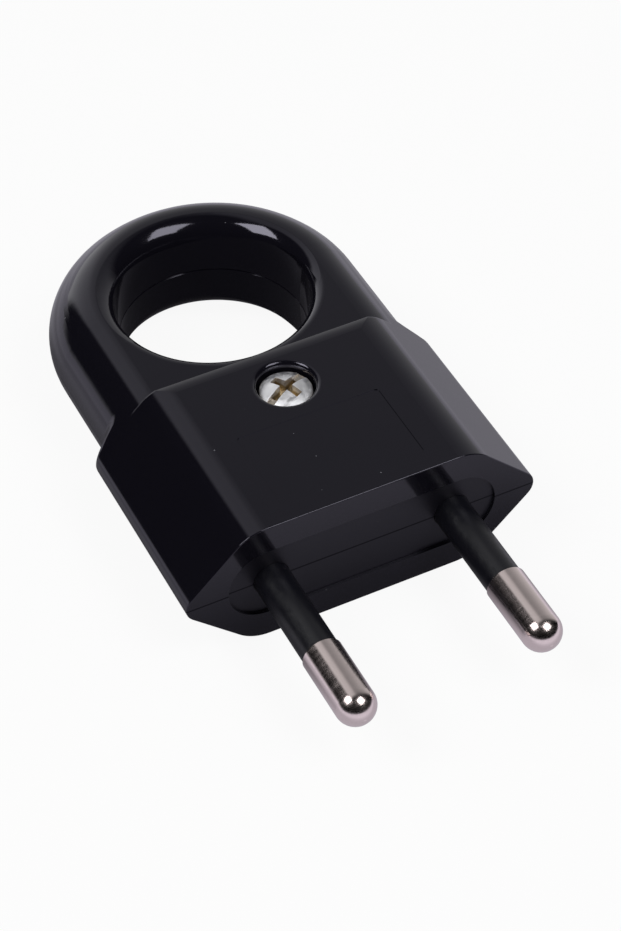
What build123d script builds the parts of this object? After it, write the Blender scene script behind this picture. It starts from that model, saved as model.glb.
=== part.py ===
from build123d import *
from math import cos, radians, sin, sqrt, tan
import os

os.makedirs("parts", exist_ok=True)

# A two-pin flat mains plug with a finger ring. Millimetres, +Z up.
# The origin is midway between the pins, on the plane of the front rim that meets the socket,
# and at the level of the joint between the two moulded shells. Pins point to -Y, the ring to +Y.

# Pins, on the two-pin socket's pitch
pin_diameter = 4.0
pin_pitch = 19.0
pin_reach = 18.65
pin_core_diameter = 3.0
sleeve_diameter = 3.68
sleeve_reach = 10.15
sleeve_flange = 6.4
sleeve_flange_thickness = 1.8
sleeve_flange_corner = 0.6
terminal_diameter = 6.0
terminal_length = 8.0
wire_hole_diameter = 2.6
wire_hole_depth = 5.6

# Outside of the housing: two flats joined by slanted flanks that the body and the ring share
slant_angle = 44.4
slant_distance = 13.39
body_top = 7.2
body_length = 21.65
body_corner_radius = 4.5
body_vertex_radius = 1.88
ring_top = 5.9
ring_corner_radius = 4.1
ring_vertex_radius = 6.0
shoulder_start = 20.95
shoulder_end = 23.35
shoulder_stations = 7
rear_corner_radius = 1.5
rear_edge_radius = 0.3
rear_slope_radius = 3.7
rear_slope_length = 1.6
front_edge_radius = 0.12
joint_chamfer = 0.1

# Finger hole
hole_centre = 33.32
ring_end_centre = 33.95
hole_radius = 9.7
hole_draft = 4.0
hole_rim_radius = 1.3
scoop_radius = 9.045
scoop_rim_radius = 2.9
scoop_rim_top = 6.02

# Front recess round the pins, and the sunk field on the top
recess_half_length = 14.05
recess_half_height = 4.1
recess_depth = 0.33
field_length = 15.0
field_width = 9.6
field_centre = 6.95
field_corner_radius = 0.4
field_depth = 0.08

# Walls and the space inside
wall = 1.8
front_wall = 3.4
cavity_end = 19.85
cavity_vertex_radius = 0.5
seat_clearance = 0.03
rib_thickness = 1.2
rib_half_width = 4.4
partition_thickness = 1.2

# Way for a flat cord through the left arm, with grip teeth, and the matching core of the right arm
channel_radius = 12.9
channel_width = 3.6
channel_height = 6.0
channel_corner_radius = 1.2
channel_turn = 18.0
channel_run_out = 12.0
core_turn = 62.0
grip_count = 4
grip_pitch = 3.0
grip_start = 22.85
grip_reach = 0.7
grip_thickness = 1.0
grip_root = 0.4

# Housing screw and its nut
screw_centre = 16.39
screw_diameter = 3.0
screw_length = 11.6
screw_hole_diameter = 3.4
screw_head_diameter = 5.2
screw_head_height = 1.95
screw_head_crown = 0.7
screw_seat = 5.0
screw_recess_radius = 2.9
screw_recess_edge = 0.5
screw_slot_width = 0.85
screw_slot_depth = 0.8
screw_slot_angle = 26.0
cross_length = 3.3
cross_depth = 1.3
nut_across_flats = 5.5
nut_thickness = 2.4
nut_floor = -7.0
nut_bore_diameter = 3.04
nut_edge_height = 0.3
nut_edge_width = 0.45
boss_diameter = 8.6

# Terminal screws
terminal_screw_diameter = 2.5
terminal_screw_station = 9.2
terminal_head_diameter = 4.0
terminal_head_height = 1.3
terminal_head_gap = 0.35
terminal_slot_width = 0.7
terminal_slot_depth = 0.7
edge_break = 0.3

# Locating pegs of the lower shell
peg_diameter = 1.7
peg_height = 1.3
peg_clearance = 0.06
peg_root = 0.5
front_peg_x = 15.9
front_peg_y = 2.05
ring_peg_angle = 84.0

# Overrun of cutting shapes past the faces they cut, and the tolerance of edge searches
overrun = 1.0
near = 1e-3

slant = radians(slant_angle)
pin_x = pin_pitch / 2
terminal_front = front_wall + sleeve_flange_thickness
terminal_rear = terminal_front + terminal_length
rear_corner_start = body_length - rear_corner_radius
rib_front = terminal_front
rib_rear = terminal_rear - rib_thickness
ring_end_axis = Axis((0, ring_end_centre, 0), (0, 0, 1))


def outline_points(top, corner_radius, vertex_radius, distance=slant_distance):
    """Right half of the upper cross section, as (x, z): flat, corner arc, slanted flank, vertex arc."""
    corner_z = top - corner_radius
    corner_x = (distance - corner_radius - corner_z * cos(slant)) / sin(slant)
    vertex_x = (distance - vertex_radius) / sin(slant)

    def on_corner(angle):
        return corner_x + corner_radius * sin(angle), corner_z + corner_radius * cos(angle)

    def on_vertex(angle):
        return vertex_x + vertex_radius * sin(angle), vertex_radius * cos(angle)

    right_angle = radians(90)
    flat = (corner_x, top)
    corner = (on_corner(slant / 2), on_corner(slant))
    vertex = (on_vertex(slant), on_vertex((slant + right_angle) / 2), on_vertex(right_angle))
    return flat, corner, vertex


def side_edges(y, top, corner_radius, vertex_radius, distance=slant_distance, side=1):
    """Corner arc, flank and vertex arc of one side, from the flat down to the joint plane."""
    flat, corner, vertex = outline_points(top, corner_radius, vertex_radius, distance)

    def at(point):
        return Vector(side * point[0], y, point[1])

    corner_arc = Edge.make_three_point_arc(at(flat), at(corner[0]), at(corner[1]))
    flank = Edge.make_line(at(corner[1]), at(vertex[0]))
    vertex_arc = Edge.make_three_point_arc(at(vertex[0]), at(vertex[1]), at(vertex[2]))
    return [corner_arc, flank, vertex_arc], at(flat), at(vertex[2])


def half_section(y, top, corner_radius, vertex_radius, distance=slant_distance):
    """Upper half of a whole cross section at station y."""
    right, right_flat, right_foot = side_edges(y, top, corner_radius, vertex_radius, distance)
    left, left_flat, left_foot = side_edges(y, top, corner_radius, vertex_radius, distance, side=-1)
    flat = Edge.make_line(left_flat, right_flat)
    joint = Edge.make_line(left_foot, right_foot)
    return Face(Wire([flat, *right, joint, *left]))


def along(face, length):
    return extrude(face, amount=length, dir=(0, 1, 0))


def body_half():
    """The block behind the front face, its edges softened and its rear corners round in plan."""
    block = along(half_section(0, body_top, body_corner_radius, body_vertex_radius), body_length)
    block -= rear_slope()
    outer = block.edges().filter_by(lambda e: e.center().Z > near)
    block = fillet(outer.filter_by(lambda e: e.center().Y > body_length - near), rear_edge_radius)
    outer = block.edges().filter_by(lambda e: e.center().Z > near)
    block = fillet(outer.filter_by(lambda e: e.center().Y < near), front_edge_radius)
    half_width = outline_points(body_top, body_corner_radius, body_vertex_radius)[2][2][0]
    plan = Rectangle(2 * half_width, 2 * body_length)
    plan = fillet(plan.vertices().filter_by(lambda v: v.Y > 0), rear_corner_radius)
    return block & extrude(plan, amount=body_top)


def rear_slope():
    """What the top loses towards its rear edge, where it falls away in a long gentle arc."""
    centre_y = body_length - rear_slope_length
    centre_z = body_top - rear_slope_radius

    def on_slope(y):
        return Vector(0, y, centre_z + sqrt(rear_slope_radius**2 - (y - centre_y) ** 2))

    end_y = body_length + overrun
    above_z = body_top + overrun
    slope = Edge.make_three_point_arc(on_slope(centre_y), on_slope(body_length), on_slope(end_y))
    above = [Vector(0, end_y, above_z), Vector(0, centre_y, above_z)]
    corners = [on_slope(end_y), *above, on_slope(centre_y)]
    sides = [Edge.make_line(a, b) for a, b in zip(corners, corners[1:])]
    return extrude(Face(Wire([slope, *sides])), amount=2 * slant_distance, dir=(1, 0, 0), both=True)


def shoulder_half():
    """The body's sides drawn in to the ring's arms, in an even S from one vertex radius to the other."""
    lead_section = half_section(rear_corner_start, ring_top, ring_corner_radius, body_vertex_radius)
    lead = along(lead_section, shoulder_start - rear_corner_start)
    sections = []
    for i in range(shoulder_stations):
        part = i / (shoulder_stations - 1)
        blend = (1 - cos(radians(180 * part))) / 2
        radius = body_vertex_radius + (ring_vertex_radius - body_vertex_radius) * blend
        y = shoulder_start + (shoulder_end - shoulder_start) * part
        sections.append(half_section(y, ring_top, ring_corner_radius, radius))
    return lead + loft(sections)


def ring_half():
    """The two arms and the round end, before the hole is cut."""
    section = half_section(shoulder_end, ring_top, ring_corner_radius, ring_vertex_radius)
    arms = along(section, ring_end_centre - shoulder_end)
    side, flat, foot = side_edges(ring_end_centre, ring_top, ring_corner_radius, ring_vertex_radius)
    crown = Vector(0, ring_end_centre, ring_top)
    centre = Vector(0, ring_end_centre, 0)
    axis_line = Edge.make_line(centre, crown)
    outline = Wire([Edge.make_line(crown, flat), *side, Edge.make_line(foot, centre), axis_line])
    end = revolve(Face(outline), ring_end_axis, 180)
    return arms + end


def hole_cutter(centre_y, radius, rim_radius, rim_top):
    """Upper half of a round hole: a drafted wall that opens into a rounded rim."""
    draft = radians(hole_draft)
    rim_z = rim_top - rim_radius
    tangent_z = rim_z + rim_radius * sin(draft)
    tangent_r = radius + tangent_z * tan(draft)
    rim_r = tangent_r + rim_radius * cos(draft)
    middle = (radians(90) + draft) / 2

    def at(r, z):
        return Vector(r, centre_y, z)

    arc_middle = at(rim_r - rim_radius * cos(middle), rim_z + rim_radius * sin(middle))
    above = body_top + overrun
    below = -overrun
    edges = [
        Edge.make_line(at(0, below), at(radius + below * tan(draft), below)),
        Edge.make_line(at(radius + below * tan(draft), below), at(tangent_r, tangent_z)),
        Edge.make_three_point_arc(at(tangent_r, tangent_z), arc_middle, at(rim_r, rim_top)),
        Edge.make_line(at(rim_r, rim_top), at(rim_r, above)),
        Edge.make_line(at(rim_r, above), at(0, above)),
        Edge.make_line(at(0, above), at(0, below)),
    ]
    return revolve(Face(Wire(edges)), Axis((0, centre_y, 0), (0, 0, 1)), 360)


def front_recess():
    """Shallow round-ended recess round both pins, both shells at once."""
    straight = 2 * (recess_half_length - recess_half_height)
    slot = SlotCenterToCenter(straight, 2 * recess_half_height)
    return extrude(Plane.XZ * slot, amount=-recess_depth)


def outside_half():
    """Upper half of the housing as a solid block, with the finger hole and the front recess.

    The hole's rim is widened at the rear by a scoop round the centre of the ring's round end.
    The chamfer round the hole is the fine groove that shows between the two shells."""
    hole = hole_cutter(hole_centre, hole_radius, hole_rim_radius, ring_top)
    scoop = hole_cutter(ring_end_centre, scoop_radius, scoop_rim_radius, scoop_rim_top)
    ring = (shoulder_half() - hole) + (ring_half() - hole - scoop)
    shell = body_half() + ring - front_recess()
    joint_edge = shell.edges().filter_by(GeomType.CIRCLE).filter_by(
        lambda e: abs(e.radius - hole_radius) < near and abs(e.center().Z) < near
    )
    return chamfer(joint_edge, joint_chamfer)


def cord_channel():
    """Way from the body through the left arm, leaving the ring on a tangent."""
    start = (-channel_radius, cavity_end - overrun)
    bend = (-channel_radius, hole_centre)
    turn = radians(channel_turn)
    out = Vector(-channel_radius * cos(turn), hole_centre + channel_radius * sin(turn))
    mouth = out + Vector(sin(turn), cos(turn)) * channel_run_out
    path = Line(start, bend) + TangentArc(bend, out, tangent=(0, 1)) + Line(out, mouth)
    return sweep(channel_section(start), path=path)


def core_channel():
    """Blind core of the right arm, which keeps its wall even with the left one."""
    start = (channel_radius, cavity_end - overrun)
    bend = (channel_radius, hole_centre)
    turn = radians(core_turn)
    end = (channel_radius * cos(turn), hole_centre + channel_radius * sin(turn))
    path = Line(start, bend) + TangentArc(bend, end, tangent=(0, 1))
    return sweep(channel_section(start), path=path)


def channel_section(start):
    plane = Plane.XZ.offset(-start[1])
    return plane * Pos(start[0], 0) * RectangleRounded(channel_width, channel_height, channel_corner_radius)


def inside_half():
    """Upper half of the space in the body, less what stands in it: boss, partition and pin ribs."""
    ceiling = body_top - wall
    section = half_section(
        front_wall, ceiling, body_corner_radius - wall, cavity_vertex_radius, slant_distance - wall
    )
    space = along(section, cavity_end - front_wall)
    space -= Pos(0, screw_centre, ceiling / 2) * Cylinder(boss_diameter / 2, ceiling)
    partition_length = screw_centre - front_wall
    space -= Pos(0, front_wall + partition_length / 2, ceiling / 2) * Box(
        partition_thickness, partition_length, ceiling
    )
    for x in (-pin_x, pin_x):
        for y in (rib_front, rib_rear):
            rib = Box(2 * rib_half_width, rib_thickness, ceiling)
            space -= Pos(x, y + rib_thickness / 2, ceiling / 2) * rib
    return space


def pin_seats():
    """Round seats for the sleeves and the terminals, both shells at once."""
    seats = []
    for x in (-pin_x, pin_x):
        sleeve_seat = sleeve_diameter / 2 + seat_clearance
        terminal_seat = terminal_diameter / 2 + seat_clearance
        seats.append(y_rod(x, sleeve_seat, 0, front_wall + seat_clearance))
        seats.append(y_rod(x, terminal_seat, rib_front - seat_clearance, terminal_rear))
    return seats


def y_rod(x, radius, y_from, y_to):
    return extrude(Plane.XZ.offset(-y_from) * Pos(x, 0) * Circle(radius), amount=-(y_to - y_from))


def grip_teeth():
    """Staggered upright teeth that pinch the cord in the left arm."""
    teeth = []
    for i in range(grip_count):
        side = 1 if i % 2 == 0 else -1
        width = grip_reach + grip_root
        x = -channel_radius + side * (channel_width / 2 - grip_reach + width / 2)
        y = grip_start + i * grip_pitch
        teeth.append(Pos(x, y, channel_height / 4) * Box(width, grip_thickness, channel_height / 2))
    return teeth


def peg_places():
    angle = radians(ring_peg_angle)
    ring_peg = (channel_radius * cos(angle), hole_centre + channel_radius * sin(angle))
    return [(-front_peg_x, front_peg_y), (front_peg_x, front_peg_y), ring_peg]


def shell_half():
    """What both shells share, in the upper one's place."""
    shell = outside_half() - inside_half() - cord_channel() - core_channel()
    for seat in pin_seats():
        shell -= seat
    for tooth in grip_teeth():
        shell += tooth
    return shell - Pos(0, screw_centre, 0) * Cylinder(screw_hole_diameter / 2, 3 * body_top)


def upper_shell():
    """Moulded shell with the screw's counterbore and the plain sunk field."""
    shell = shell_half()
    recess_height = body_top - screw_seat + overrun
    recess = Cylinder(screw_recess_radius, recess_height)
    shell -= Pos(0, screw_centre, screw_seat + recess_height / 2) * recess
    rim = shell.edges().filter_by(GeomType.CIRCLE).filter_by(
        lambda e: abs(e.radius - screw_recess_radius) < near and e.center().Z > body_top - near
    )
    shell = fillet(rim, screw_recess_edge)
    field = RectangleRounded(field_length, field_width, field_corner_radius)
    shell -= extrude(Pos(0, field_centre, body_top - field_depth) * field, amount=overrun)
    for x, y in peg_places():
        depth = peg_height + 2 * peg_clearance
        shell -= Pos(x, y, depth / 2) * Cylinder(peg_diameter / 2 + peg_clearance, depth)
    return shell


def lower_shell():
    """Moulded shell with the nut's pocket and the locating pegs."""
    shell = mirror(shell_half(), Plane.XY)
    nut_face = nut_floor + nut_thickness
    pocket = RegularPolygon(nut_across_flats / 2 + seat_clearance, 6, major_radius=False)
    shell -= extrude(Pos(0, screw_centre, nut_face) * pocket, amount=-body_top)
    for x, y in peg_places():
        height = peg_height + peg_root
        peg = Pos(x, y, peg_height - height / 2) * Cylinder(peg_diameter / 2, height)
        shell += peg
    return shell


def contact_pin(x):
    """Turned brass pin: round nose, bare end, waist under the sleeve and a drilled terminal."""
    bare = pin_diameter / 2
    core = pin_core_diameter / 2
    terminal = terminal_diameter / 2
    nose = -pin_reach + bare
    outline = Polyline(
        (bare, nose),
        (bare, -sleeve_reach),
        (core, -sleeve_reach),
        (core, terminal_front),
        (terminal - edge_break, terminal_front),
        (terminal, terminal_front + edge_break),
        (terminal, terminal_rear - edge_break),
        (terminal - edge_break, terminal_rear),
        (0, terminal_rear),
        (0, -pin_reach),
    )
    nose_middle = (bare * sin(radians(45)), nose - bare * cos(radians(45)))
    outline += ThreePointArc((0, -pin_reach), nose_middle, (bare, nose))
    pin = revolve(make_face(outline), Axis.Y, 360)
    pin -= y_rod(0, wire_hole_diameter / 2, terminal_rear - wire_hole_depth, terminal_rear + overrun)
    screw_hole = Cylinder(terminal_screw_diameter / 2, terminal)
    pin -= Pos(0, terminal_screw_station, terminal / 2) * screw_hole
    return Pos(x, 0, 0) * pin


def pin_sleeve(x):
    """Moulded insulating sleeve on the pin's waist, held by its square flange behind the front wall."""
    tube = y_rod(0, sleeve_diameter / 2, -sleeve_reach, terminal_front)
    flange = Pos(0, front_wall + sleeve_flange_thickness / 2, 0) * Box(
        sleeve_flange, sleeve_flange_thickness, sleeve_flange
    )
    flange = fillet(flange.edges().filter_by(Axis.Y), sleeve_flange_corner)
    bore = y_rod(0, pin_core_diameter / 2, -sleeve_reach - overrun, terminal_front + overrun)
    return Pos(x, 0, 0) * (tube + flange - bore)


def terminal_screw(x):
    """Slotted cheese-head screw that clamps the wire in a terminal."""
    seat = terminal_diameter / 2 + terminal_head_gap
    head = Cylinder(terminal_head_diameter / 2, terminal_head_height)
    head = Pos(0, 0, seat + terminal_head_height / 2) * head
    head = fillet(head.edges().sort_by(Axis.Z)[-1], edge_break)
    head -= Pos(0, 0, seat + terminal_head_height) * Box(
        terminal_head_diameter + overrun, terminal_slot_width, 2 * terminal_slot_depth
    )
    shank = Pos(0, 0, seat / 2) * Cylinder(terminal_screw_diameter / 2, seat)
    return Pos(x, terminal_screw_station, 0) * (head + shank)


def housing_screw():
    """Pan-head machine screw with a slot and a cross recess."""
    radius = screw_head_diameter / 2
    rim_height = screw_head_height - screw_head_crown
    top = screw_seat + screw_head_height
    tip = screw_seat - screw_length
    shank = screw_diameter / 2
    outline = Polyline(
        (0, top),
        (0, tip),
        (shank - edge_break, tip),
        (shank, tip + edge_break),
        (shank, screw_seat),
        (radius, screw_seat),
        (radius, screw_seat + rim_height),
    )
    crown_radius = (radius**2 + screw_head_crown**2) / (2 * screw_head_crown)
    crown_middle = (radius / 2, top - crown_radius + sqrt(crown_radius**2 - (radius / 2) ** 2))
    outline += ThreePointArc((radius, screw_seat + rim_height), crown_middle, (0, top))
    screw = revolve(Plane.XZ * make_face(outline), Axis.Z, 360)
    slot = Box(screw_head_diameter + overrun, screw_slot_width, 2 * screw_slot_depth)
    cross = Box(cross_length, screw_slot_width, 2 * cross_depth)
    screw -= Pos(0, 0, top) * Rot(0, 0, screw_slot_angle) * slot
    screw -= Pos(0, 0, top) * Rot(0, 0, screw_slot_angle) * cross
    screw -= Pos(0, 0, top) * Rot(0, 0, screw_slot_angle + 90) * cross
    return Pos(0, screw_centre, 0) * screw


def housing_nut():
    """Hexagon nut in the lower shell's pocket, its corners turned off."""
    blank = extrude(RegularPolygon(nut_across_flats / 2, 6, major_radius=False), amount=nut_thickness)
    corner_radius = nut_across_flats / 2 / cos(radians(30))
    cone = Pos(0, 0, nut_thickness / 2) * Cylinder(corner_radius, nut_thickness)
    cone = chamfer(cone.edges().filter_by(GeomType.CIRCLE), nut_edge_height, nut_edge_width)
    nut = (blank & cone) - Pos(0, 0, nut_thickness / 2) * Cylinder(nut_bore_diameter / 2, 2 * nut_thickness)
    return Pos(0, screw_centre, nut_floor) * nut


def write(name, part):
    export_step(part, f"parts/{name}.step")


write("upper_shell", upper_shell())
write("lower_shell", lower_shell())
for side, x in (("left", -pin_x), ("right", pin_x)):
    write(f"contact_pin_{side}", contact_pin(x))
    write(f"pin_sleeve_{side}", pin_sleeve(x))
write("terminal_screws", Compound([terminal_screw(-pin_x), terminal_screw(pin_x)]))
write("housing_screw", housing_screw())
write("housing_nut", housing_nut())
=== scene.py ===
from math import pi, radians

import bpy
from mathutils import Euler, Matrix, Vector


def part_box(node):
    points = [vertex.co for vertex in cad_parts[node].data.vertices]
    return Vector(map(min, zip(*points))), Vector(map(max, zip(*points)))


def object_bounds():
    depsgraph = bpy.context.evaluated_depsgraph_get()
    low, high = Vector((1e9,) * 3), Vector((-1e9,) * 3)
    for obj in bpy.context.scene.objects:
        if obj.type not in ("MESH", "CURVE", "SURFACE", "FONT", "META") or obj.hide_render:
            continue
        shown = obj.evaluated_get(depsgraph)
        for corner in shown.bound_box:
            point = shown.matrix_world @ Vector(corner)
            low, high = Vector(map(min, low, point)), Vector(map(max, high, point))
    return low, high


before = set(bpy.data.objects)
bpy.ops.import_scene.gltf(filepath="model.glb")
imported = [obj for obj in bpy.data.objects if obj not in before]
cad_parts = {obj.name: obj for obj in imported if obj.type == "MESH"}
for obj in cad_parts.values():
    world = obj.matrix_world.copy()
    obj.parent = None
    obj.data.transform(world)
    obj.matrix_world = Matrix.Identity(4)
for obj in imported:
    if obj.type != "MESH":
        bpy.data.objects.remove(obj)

cad_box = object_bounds()


# Camera: it stands over the pins' side and looks down along the plug to its ring. Its lens and place
# are fitted to the photo's edges. Blender's unit is the metre, so a size is millimetres times MM.
MM = 0.001
camera_data = bpy.data.cameras.new("camera")
camera_data.sensor_width = 36.0
camera_data.lens = 100.54
camera = bpy.data.objects.new("camera", camera_data)
camera.location = Vector((-76.42, -147.03, 179.52)) * MM
camera.rotation_euler = (radians(44.483), radians(0.703), radians(-26.484))
bpy.context.scene.collection.objects.link(camera)
bpy.context.scene.camera = camera


# Housing: two shells of black ABS, moulded in a polished mould and held together by one screw.
# The plastic is glossy and nearly black, so the eye sees mostly the reflected room. Fine swirls from
# wiping, specks of dust and shallow waves left by the moulding break the reflections up.
def srgb(hex_code):
    """Linear colour of a hex sRGB value."""
    channels = [int(hex_code[i:i + 2], 16) / 255 for i in (1, 3, 5)]
    linear = [c / 12.92 if c <= 0.04045 else ((c + 0.055) / 1.055) ** 2.4 for c in channels]
    return (*linear, 1.0)


def add(material, kind, settings=None, **links):
    """Adds one shader node with its settings, and links each named input to a value or an output."""
    node = material.node_tree.nodes.new(kind)
    for name, value in (settings or {}).items():
        setattr(node, name, value)
    for name, value in links.items():
        socket = node.inputs[int(name[1:])] if name[1:].isdigit() else node.inputs[name.replace("_", " ")]
        if isinstance(value, bpy.types.NodeSocket):
            material.node_tree.links.new(value, socket)
        else:
            socket.default_value = value
    return node


def new_material(name):
    """A material with a bare Principled shader, and its shader and object coordinates."""
    material = bpy.data.materials.new(name)
    material.use_nodes = True
    shader = material.node_tree.nodes["Principled BSDF"]
    coordinates = add(material, "ShaderNodeTexCoord").outputs["Object"]
    return material, shader, coordinates


def per_metre(size_mm):
    """Texture scale that gives a pattern this size in millimetres."""
    return 1.0 / (size_mm * MM)


def link(material, output, shader, socket):
    """Links a node's output to the shader's input of this name."""
    material.node_tree.links.new(output, shader.inputs[socket])


def dress(material, *nodes):
    """Puts the material on all slots of these CAD nodes."""
    for name in nodes:
        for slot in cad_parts[name].material_slots:
            slot.material = material


black_abs, shader, place = new_material("moulded_black_abs")
shader.inputs["IOR"].default_value = 1.5
shader.inputs["Specular Tint"].default_value = srgb("#efecff")

# Wiped smudges change the polish a little. The swirls are far coarser than real wiping marks, which
# would be too fine to show.
smudge_size = 7.0
swirl_size = 2.4
swirl_stretch = (1.0, 6.0, 6.0)
swirl_turn = (0.0, 0.0, radians(-14))
smudge = add(black_abs, "ShaderNodeTexNoise", Vector=place, Scale=per_metre(smudge_size), Detail=3.0)
swirl_place = add(black_abs, "ShaderNodeMapping", Vector=place, Scale=swirl_stretch, Rotation=swirl_turn)
swirl = add(
    black_abs, "ShaderNodeTexNoise",
    Vector=swirl_place.outputs[0], Scale=per_metre(swirl_size), Detail=5.0, Distortion=0.6,
)
polish = add(
    black_abs, "ShaderNodeMapRange",
    Value=smudge.outputs["Fac"], From_Min=0.3, From_Max=0.7, To_Min=0.07, To_Max=0.12,
)

# The floor of the shallow recess round the pins is satin. It is found by its depth behind the front
# rim, with a margin, and by its half sizes.
recess_depth = 0.35 * MM
recess_margin = 0.15 * MM
recess_half_length = 14.1 * MM
recess_half_height = 4.15 * MM
satin_roughness = 0.38
at = add(black_abs, "ShaderNodeSeparateXYZ", Vector=place)
compare = {"operation": "COMPARE"}
sunk = add(black_abs, "ShaderNodeMath", compare, _0=at.outputs["Y"], _1=recess_depth, _2=recess_margin)
inside_x = add(black_abs, "ShaderNodeMath", compare, _0=at.outputs["X"], _1=0.0, _2=recess_half_length)
inside_z = add(black_abs, "ShaderNodeMath", compare, _0=at.outputs["Z"], _1=0.0, _2=recess_half_height)
satin = add(
    black_abs, "ShaderNodeMath", {"operation": "MULTIPLY"}, _0=inside_x.outputs[0], _1=inside_z.outputs[0],
)
satin = add(black_abs, "ShaderNodeMath", {"operation": "MULTIPLY"}, _0=satin.outputs[0], _1=sunk.outputs[0])

# The groove where the shells meet runs round the plug at mid-height. Dirt dulls it to a dark line.
groove_core = 0.06 * MM
groove_edge = 0.11 * MM
clean_gloss = 0.5
groove_gloss = 0.08
off_joint = add(black_abs, "ShaderNodeMath", {"operation": "ABSOLUTE"}, _0=at.outputs["Z"])
joint = add(
    black_abs, "ShaderNodeMapRange",
    Value=off_joint.outputs[0], From_Min=groove_core, From_Max=groove_edge, To_Min=1.0, To_Max=0.0,
)
roughness = add(
    black_abs, "ShaderNodeMix", {"data_type": "FLOAT"},
    _0=satin.outputs[0], _2=polish.outputs[0], _3=satin_roughness,
)
link(black_abs, roughness.outputs[0], shader, "Roughness")
gloss = add(
    black_abs, "ShaderNodeMapRange",
    Value=joint.outputs[0], From_Min=0.0, From_Max=1.0, To_Min=clean_gloss, To_Max=groove_gloss,
)
link(black_abs, gloss.outputs[0], shader, "Specular IOR Level")

# Grey specks of dust lie about 2.6 mm apart. Each is 0.1 to 0.16 mm across, coarser than most dust,
# so that it shows. Their radii are shares of the spacing.
dust_spacing = 2.6
speck_core = 0.018
speck_edge = 0.03
dust = add(black_abs, "ShaderNodeTexVoronoi", Vector=place, Scale=per_metre(dust_spacing))
speck = add(
    black_abs, "ShaderNodeMapRange",
    Value=dust.outputs["Distance"], From_Min=speck_core, From_Max=speck_edge, To_Min=1.0, To_Max=0.0,
)
tint = add(
    black_abs, "ShaderNodeMix", {"data_type": "RGBA"},
    _0=speck.outputs[0], _6=srgb("#0f0e14"), _7=srgb("#77777d"),
)
link(black_abs, tint.outputs[2], shader, "Base Color")

wave_size = 3.0
waves = add(black_abs, "ShaderNodeTexNoise", Vector=place, Scale=per_metre(wave_size), Detail=1.0)
wave_bump = add(black_abs, "ShaderNodeBump", Height=waves.outputs["Fac"], Strength=0.3, Distance=0.02 * MM)
swirl_bump = add(
    black_abs, "ShaderNodeBump",
    Height=swirl.outputs["Fac"], Strength=0.25, Distance=0.01 * MM, Normal=wave_bump.outputs[0],
)
link(black_abs, swirl_bump.outputs[0], shader, "Normal")
dress(black_abs, "upper_shell", "lower_shell")


# Sleeves: insulating tubes of black nylon, moulded on the waists of the pins. A fine-grained mould
# leaves them satin, so their lights are soft and blurred beside the glossy housing. The grain is
# drawn at 0.5 mm, coarser than the real one, which would be too fine to show.
sleeve_grain = 0.5
satin_nylon, shader, place = new_material("moulded_satin_black_nylon")
shader.inputs["IOR"].default_value = 1.5
shader.inputs["Base Color"].default_value = srgb("#0c0c13")
grain = add(satin_nylon, "ShaderNodeTexNoise", Vector=place, Scale=per_metre(sleeve_grain), Detail=3.0)
roughness = add(
    satin_nylon, "ShaderNodeMapRange",
    Value=grain.outputs["Fac"], From_Min=0.3, From_Max=0.7, To_Min=0.3, To_Max=0.4,
)
link(satin_nylon, roughness.outputs[0], shader, "Roughness")
grain_bump = add(satin_nylon, "ShaderNodeBump", Height=grain.outputs["Fac"], Strength=0.3, Distance=0.01 * MM)
link(satin_nylon, grain_bump.outputs[0], shader, "Normal")
dress(satin_nylon, "pin_sleeve_left", "pin_sleeve_right")


# Pins: brass, turned on a lathe, nickel plated and clamped between the shells. The plating gives a
# warm silver shine, which faint rings from the lathe blur. The rings are drawn 0.25 mm apart, coarser
# than the real ones, and their noise is stretched across the pin.
ring_spacing = 0.25
ring_stretch = (0.15, 1.0, 0.15)
nickel, shader, place = new_material("nickel_plated_brass")
shader.inputs["Metallic"].default_value = 1.0
shader.inputs["Base Color"].default_value = srgb("#ebdcda")
ring_place = add(nickel, "ShaderNodeMapping", Vector=place, Scale=ring_stretch)
rings = add(
    nickel, "ShaderNodeTexNoise", Vector=ring_place.outputs[0], Scale=per_metre(ring_spacing), Detail=4.0,
)
roughness = add(
    nickel, "ShaderNodeMapRange",
    Value=rings.outputs["Fac"], From_Min=0.3, From_Max=0.7, To_Min=0.16, To_Max=0.24,
)
link(nickel, roughness.outputs[0], shader, "Roughness")
ring_bump = add(nickel, "ShaderNodeBump", Height=rings.outputs["Fac"], Strength=0.12, Distance=0.01 * MM)
link(nickel, ring_bump.outputs[0], shader, "Normal")
dress(nickel, "contact_pin_left", "contact_pin_right")


# Screws and nut: a pan-head screw and its nut hold the shells together, and two cheese-head screws
# clamp the wires inside. All are steel with a bright zinc plating, which shines whitish and uneven.
# The unevenness is drawn at 0.5 mm, coarser than real. By height alone, the head is coloured dark
# brown mottled with pale gold, low in its recess and round its side.
pit_size = 0.5
plain_above = 6.35 * MM
dark_below = 6.05 * MM
below_seat = 4.8 * MM
above_seat = 5.2 * MM
zinc, shader, place = new_material("bright_zinc_plated_steel")
shader.inputs["Metallic"].default_value = 1.0
pits = add(zinc, "ShaderNodeTexNoise", Vector=place, Scale=per_metre(pit_size), Detail=4.0)
roughness = add(
    zinc, "ShaderNodeMapRange",
    Value=pits.outputs["Fac"], From_Min=0.35, From_Max=0.65, To_Min=0.32, To_Max=0.6,
)
link(zinc, roughness.outputs[0], shader, "Roughness")
height = add(zinc, "ShaderNodeSeparateXYZ", Vector=place)
# By height alone, the head is coloured darker between its seat and 6.05 to 6.35 mm up.
in_recess = add(
    zinc, "ShaderNodeMapRange",
    Value=height.outputs["Z"], From_Min=plain_above, From_Max=dark_below, To_Min=0.0, To_Max=1.0,
)
in_head = add(
    zinc, "ShaderNodeMapRange",
    Value=height.outputs["Z"], From_Min=below_seat, From_Max=above_seat, To_Min=0.0, To_Max=1.0,
)
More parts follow.
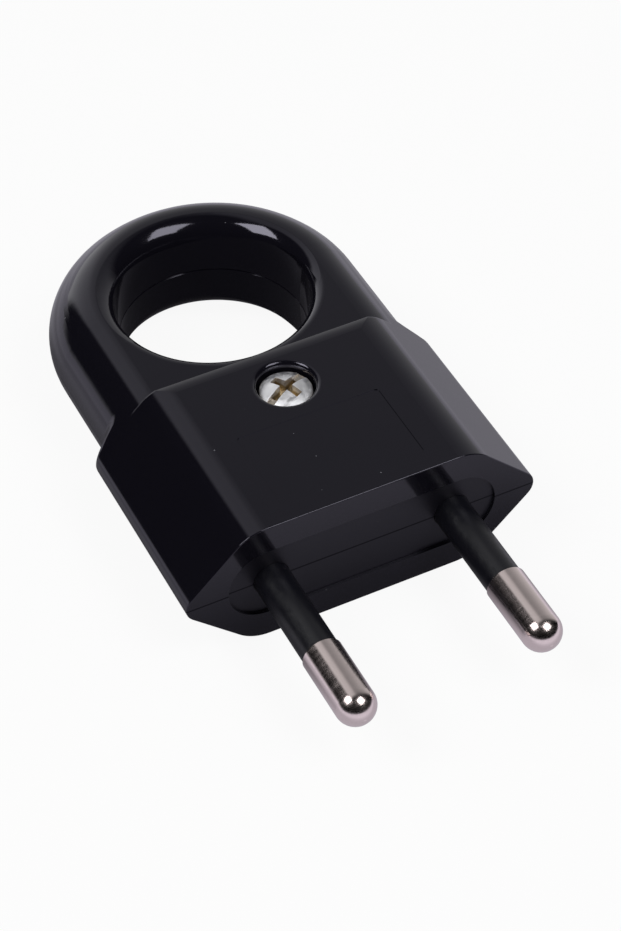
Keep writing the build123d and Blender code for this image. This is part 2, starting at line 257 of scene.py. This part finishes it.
darker_in_head = add(
    zinc, "ShaderNodeMath", {"operation": "MULTIPLY"}, _0=in_recess.outputs[0], _1=in_head.outputs[0],
)
head_dark_colour = add(
    zinc, "ShaderNodeMix", {"data_type": "RGBA"},
    _0=pits.outputs["Fac"], _6=srgb("#4a4036"), _7=srgb("#d8c29a"),
)
tint = add(
    zinc, "ShaderNodeMix", {"data_type": "RGBA"},
    _0=darker_in_head.outputs[0], _6=srgb("#f6f6f9"), _7=head_dark_colour.outputs[2],
)
link(zinc, tint.outputs[2], shader, "Base Color")
pit_bump = add(zinc, "ShaderNodeBump", Height=pits.outputs["Fac"], Strength=0.2, Distance=0.02 * MM)
link(zinc, pit_bump.outputs[0], shader, "Normal")
dress(zinc, "housing_screw", "housing_nut", "terminal_screws")


# Floor: a plain pale table, on which the plug lies. The camera sees it nearly white, with the plug's
# shadow. Reflections don't: they meet a glowing, dimmer, slightly violet table, with a painted shadow
# of the plug in its glow, darkest beside the plug and in its hole, which is fitted to what the plastic
# mirrors in the photo.
floor_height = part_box("lower_shell")[0].z
bpy.ops.object.select_all(action="DESELECT")
bpy.ops.mesh.primitive_plane_add(size=3.0, location=(0.0, 0.0, floor_height))
floor = bpy.context.active_object
floor.name = "floor"
pale_table, shader, place = new_material("pale_table")
shader.inputs["Base Color"].default_value = srgb("#dadada")
shader.inputs["Roughness"].default_value = 0.9
white_share = 0.92
ray = add(pale_table, "ShaderNodeLightPath")
seen = add(
    pale_table, "ShaderNodeMath", {"operation": "MAXIMUM"},
    _0=ray.outputs["Is Camera Ray"], _1=ray.outputs["Is Transmission Ray"],
)
share = add(pale_table, "ShaderNodeMath", {"operation": "MULTIPLY"}, _0=seen.outputs[0], _1=white_share)
white = add(pale_table, "ShaderNodeEmission", Color=(1.0, 1.0, 1.0, 1.0), Strength=1.0)
plain = add(pale_table, "ShaderNodeMixShader", _0=share.outputs[0], _1=shader.outputs[0], _2=white.outputs[0])

# How far a spot of the table lies outside the box round the housing, seen from above.
housing_middle = Vector((0.0, 23.0, 0.0)) * MM
housing_half = Vector((17.0, 23.0, 0.0)) * MM
from_middle = add(pale_table, "ShaderNodeVectorMath", {"operation": "SUBTRACT"}, _0=place, _1=housing_middle)
from_middle = add(pale_table, "ShaderNodeVectorMath", {"operation": "ABSOLUTE"}, _0=from_middle.outputs[0])
outside = add(
    pale_table, "ShaderNodeVectorMath", {"operation": "SUBTRACT"}, _0=from_middle.outputs[0], _1=housing_half,
)
outside = add(
    pale_table, "ShaderNodeVectorMath", {"operation": "MAXIMUM"}, _0=outside.outputs[0], _1=(0.0, 0.0, 0.0),
)
distance = add(pale_table, "ShaderNodeVectorMath", {"operation": "LENGTH"}, _0=outside.outputs[0])

# The mirrored table's glow holds a painted shadow: it brightens away from the housing, is shaded in
# the hole, and brightens again where it is open.
hole_middle = Vector((0.0, 33.3, 0.0)) * MM
painted_plug_shadow = add(
    pale_table, "ShaderNodeMapRange", {"interpolation_type": "SMOOTHSTEP"},
    Value=distance.outputs["Value"], From_Min=0.0, From_Max=14 * MM, To_Min=0.14, To_Max=0.5,
)
from_hole = add(pale_table, "ShaderNodeVectorMath", {"operation": "DISTANCE"}, _0=place, _1=hole_middle)
hole_shade = add(
    pale_table, "ShaderNodeMapRange", {"interpolation_type": "SMOOTHSTEP"},
    Value=from_hole.outputs["Value"], From_Min=9 * MM, From_Max=15 * MM, To_Min=0.36, To_Max=1.0,
)
open_table = add(
    pale_table, "ShaderNodeMapRange", {"interpolation_type": "SMOOTHSTEP"},
    Value=distance.outputs["Value"], From_Min=22 * MM, From_Max=40 * MM, To_Min=1.0, To_Max=1.5,
)
level = add(
    pale_table, "ShaderNodeMath", {"operation": "MULTIPLY"},
    _0=painted_plug_shadow.outputs[0], _1=hole_shade.outputs[0],
)
level = add(
    pale_table, "ShaderNodeMath", {"operation": "MULTIPLY"}, _0=level.outputs[0], _1=open_table.outputs[0],
)
# Reflections see this glow, with its painted shadow, in place of the lit table.
mirrored = add(pale_table, "ShaderNodeEmission", Color=(0.98, 0.95, 1.06, 1.0), Strength=level.outputs[0])
table_mix = add(
    pale_table, "ShaderNodeMixShader",
    _0=ray.outputs["Is Glossy Ray"], _1=plain.outputs[0], _2=mirrored.outputs[0],
)
table_out = pale_table.node_tree.nodes["Material Output"]
pale_table.node_tree.links.new(table_mix.outputs[0], table_out.inputs["Surface"])
floor.data.materials.append(pale_table)


# Light: two soft boxes, one on each side of the camera, and an even dim fill. The camera sees white
# round the plug. Reflections don't: they meet a backdrop that is pale behind the plug and to its
# right, and black in front and to the left, which is fitted to what the plastic mirrors in the photo.
def soft_box(name, azimuth, elevation, distance, side, radiance):
    """A square lamp that looks at the plug from this direction, in degrees and metres."""
    direction = Euler((0.0, -radians(elevation), radians(azimuth))).to_matrix() @ Vector((1.0, 0.0, 0.0))
    middle = (cad_box[0] + cad_box[1]) / 2
    lamp_data = bpy.data.lights.new(name, "AREA")
    lamp_data.shape = "SQUARE"
    lamp_data.size = side
    lamp_data.energy = radiance * pi * side**2
    lamp = bpy.data.objects.new(name, lamp_data)
    lamp.location = middle + direction * distance
    lamp.rotation_euler = direction.to_track_quat("Z", "Y").to_euler()
    bpy.context.scene.collection.objects.link(lamp)


soft_box("soft_box_right", azimuth=-58, elevation=55, distance=0.6, side=0.29, radiance=5.8)
soft_box("soft_box_left", azimuth=174, elevation=52, distance=0.6, side=0.27, radiance=7.2)

room = bpy.data.worlds.new("room")
bpy.context.scene.world = room
room.use_nodes = True
ray = add(room, "ShaderNodeLightPath")
direction = add(room, "ShaderNodeSeparateXYZ", Vector=add(room, "ShaderNodeTexCoord").outputs["Generated"])

# The mirrored backdrop fades upwards, ends on the left and in front, and is brightest towards its
# left end, where it reaches 1.44 times white. A low band runs on round the left at the horizon.
fade_up = add(
    room, "ShaderNodeMapRange",
    Value=direction.outputs["Z"], From_Min=0.0, From_Max=0.85, To_Min=0.6, To_Max=0.2,
)
fade_left = add(
    room, "ShaderNodeMapRange", {"interpolation_type": "SMOOTHSTEP"},
    Value=direction.outputs["X"], From_Min=-0.4, From_Max=-0.28, To_Min=0.0, To_Max=1.0,
)
fade_front = add(
    room, "ShaderNodeMapRange", {"interpolation_type": "SMOOTHSTEP"},
    Value=direction.outputs["Y"], From_Min=0.0, From_Max=0.3, To_Min=0.0, To_Max=1.0,
)
edge = add(
    room, "ShaderNodeMapRange", {"interpolation_type": "SMOOTHSTEP"},
    Value=direction.outputs["X"], From_Min=0.0, From_Max=0.28, To_Min=2.4, To_Max=1.0,
)
fade_up = add(room, "ShaderNodeMath", {"operation": "MULTIPLY"}, _0=fade_up.outputs[0], _1=edge.outputs[0])
backdrop = add(
    room, "ShaderNodeMath", {"operation": "MULTIPLY"}, _0=fade_up.outputs[0], _1=fade_left.outputs[0],
)
low = add(
    room, "ShaderNodeMapRange", {"interpolation_type": "SMOOTHSTEP"},
    Value=direction.outputs["Z"], From_Min=0.0, From_Max=0.1, To_Min=0.5, To_Max=0.0,
)
backdrop = add(room, "ShaderNodeMath", {"operation": "MAXIMUM"}, _0=backdrop.outputs[0], _1=low.outputs[0])
backdrop = add(
    room, "ShaderNodeMath", {"operation": "MULTIPLY"}, _0=backdrop.outputs[0], _1=fade_front.outputs[0],
)
mirrored = add(room, "ShaderNodeBackground", Strength=backdrop.outputs[0], Color=(1.0, 1.0, 1.0, 1.0))
fill = add(room, "ShaderNodeBackground", Strength=0.3, Color=(1.0, 1.0, 1.0, 1.0))
white = add(room, "ShaderNodeBackground", Strength=1.0, Color=(1.0, 1.0, 1.0, 1.0))
around = add(
    room, "ShaderNodeMixShader", _0=ray.outputs["Is Glossy Ray"], _1=fill.outputs[0], _2=mirrored.outputs[0],
)
seen = add(
    room, "ShaderNodeMath", {"operation": "MAXIMUM"},
    _0=ray.outputs["Is Camera Ray"], _1=ray.outputs["Is Transmission Ray"],
)
behind = add(room, "ShaderNodeMixShader", _0=seen.outputs[0], _1=around.outputs[0], _2=white.outputs[0])
room.node_tree.links.new(behind.outputs[0], room.node_tree.nodes["World Output"].inputs["Surface"])

bpy.context.scene.view_settings.view_transform = "Standard"
